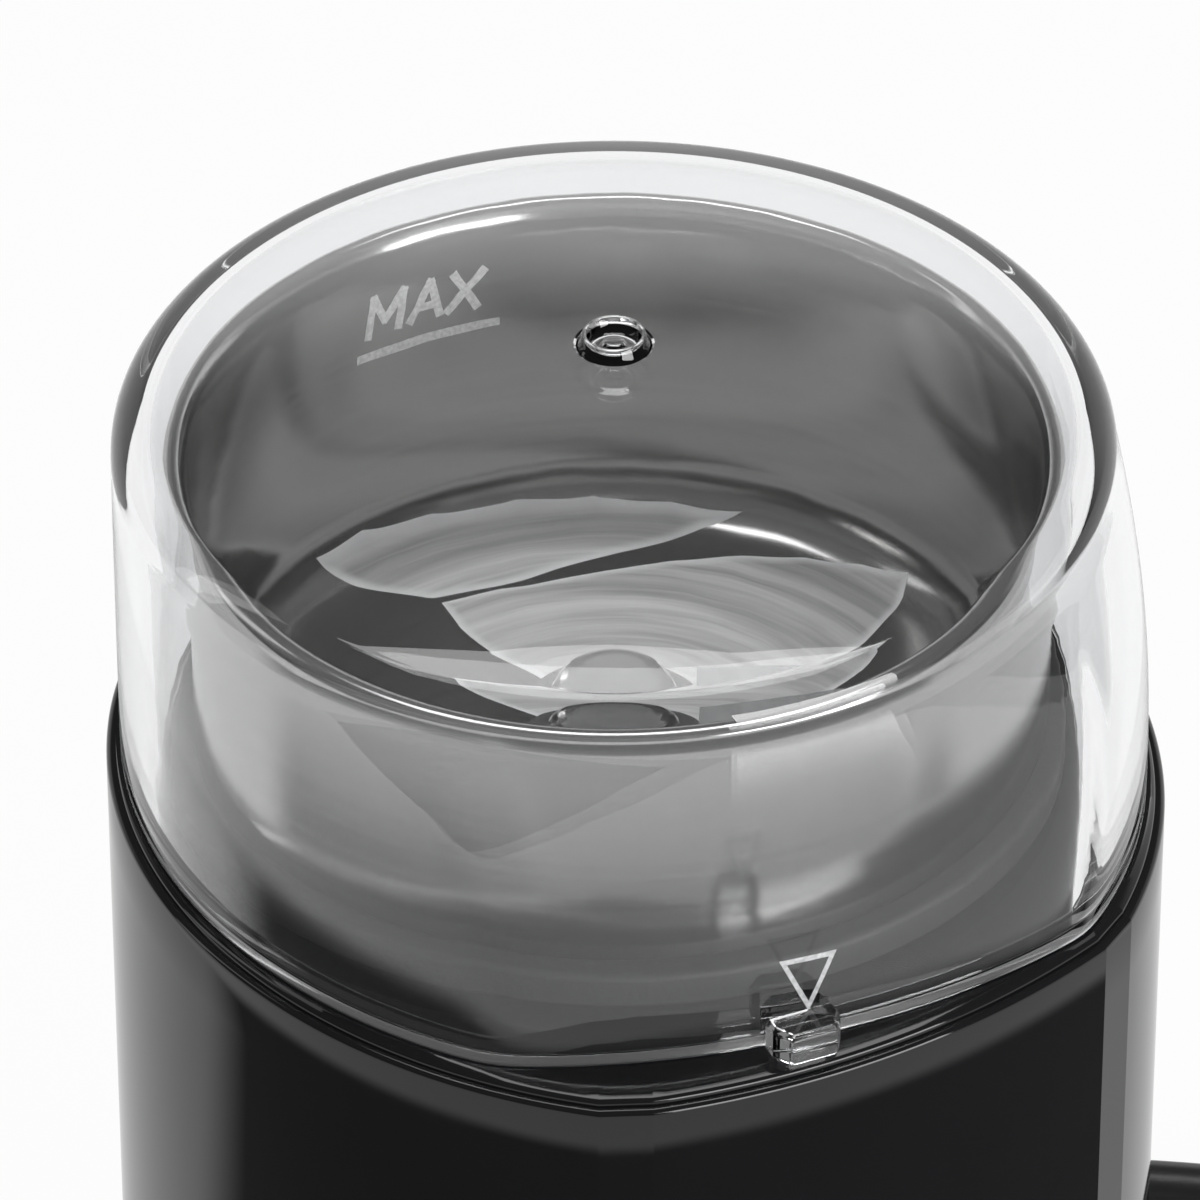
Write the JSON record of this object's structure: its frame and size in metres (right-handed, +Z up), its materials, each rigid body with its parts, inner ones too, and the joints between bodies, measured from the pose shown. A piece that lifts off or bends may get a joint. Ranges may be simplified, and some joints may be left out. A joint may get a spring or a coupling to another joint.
{
  "type": "electric spice grinder",
  "caption": "Upright electric blade grinder for spices: black housing with a push button, steel bowl with a spinning blade, clear lift-off lid, mains lead.",
  "frame": {"origin": "middle of the footprint on the table, without the lead, its strain relief and its plug; the motor's axis stands 4.9 mm behind it", "axes": "+Z up along the motor's axis, -Y towards the button, +X to the right seen from the front"},
  "size_m": [0.1805, 0.1763, 0.1872],
  "materials": {
    "black_gloss": "polished",
    "black_matte": "moulded",
    "rubber": "soft matte",
    "zinc": "zinc plated",
    "brushed_steel": "brushed round the axis",
    "aluminium": "die cast",
    "bronze": "sintered bronze",
    "laminations": "stacked electrical steel",
    "copper": "enamelled copper",
    "brass": "bright",
    "carbon": "pressed carbon",
    "bright_steel": "ground stainless steel",
    "cream_plastic": "moulded",
    "clear_plastic": "clear polished",
    "silver_plastic": "satin silver",
    "lead_sheath": "smooth flexible sheath",
    "brown_wire": "insulated wire",
    "nickel": "nickel plated"
  },
  "bodies": {
    "base": {"housing": "black_gloss", "top_deck": "black_gloss", "base_plate": "black_matte", "rubber_feet": "rubber", "base_screws": "zinc", "deck_screws": "zinc", "bowl": "brushed_steel", "bowl_gasket": "rubber", "shaft_seal": "rubber", "upper_bracket": "aluminium", "lower_bracket": "aluminium", "upper_bush": "bronze", "lower_bush": "bronze", "motor_dampers": "rubber", "motor_screws": "zinc", "stator_core": "laminations", "field_coils": "copper", "brush_holders": "brass", "carbon_brushes": "carbon", "brush_springs": "zinc", "button_guide": "black_matte", "button_spring": "zinc", "switch_body": "black_matte", "switch_bracket": "aluminium", "interlock_spring": "zinc", "interlock_guide": "black_matte", "terminal_block": "cream_plastic", "inner_lead": "lead_sheath", "switch_leads": "brown_wire", "cord_clamp": "black_matte", "strain_relief": "lead_sheath", "mains_cord": "lead_sheath", "cord_coil": "lead_sheath", "cord_tail": "lead_sheath", "plug_body": "lead_sheath", "plug_pins": "nickel"},
    "rotor": {"motor_shaft": "bright_steel", "armature_core": "laminations", "armature_windings": "copper", "commutator": "copper", "cooling_fan": "cream_plastic", "blade": "bright_steel", "blade_nut": "bright_steel"},
    "lid": {"lid": "clear_plastic"},
    "button": {"button": "silver_plastic", "switch_plunger": "cream_plastic"},
    "interlock": {"interlock_pin": "cream_plastic"}
  },
  "joints": [
    {"name": "lid_lift", "type": "slide", "parent": "base", "child": "lid", "axis": [0, 0, 1], "range_m": [0, 0.06]},
    {"name": "blade_spin", "type": "hinge", "parent": "base", "child": "rotor", "pos_m": [0, 0.0049, 0.1], "axis": [0, 0, 1], "continuous": true},
    {"name": "button_press", "type": "slide", "parent": "base", "child": "button", "axis": [0, 1, 0], "range_m": [0, 0.0025], "stiffness_N_per_m": 400, "springref_m": -0.0015, "deforming": ["button_spring"]},
    {"name": "interlock_rise", "type": "slide", "parent": "base", "child": "interlock", "axis": [0, 0, 1], "range_m": [0, 0.0015], "deforming": ["interlock_spring"]}
  ],
  "couplings": [
    {"joint": "interlock_rise", "follows": "lid_lift", "ratio": 0.025}
  ]
}
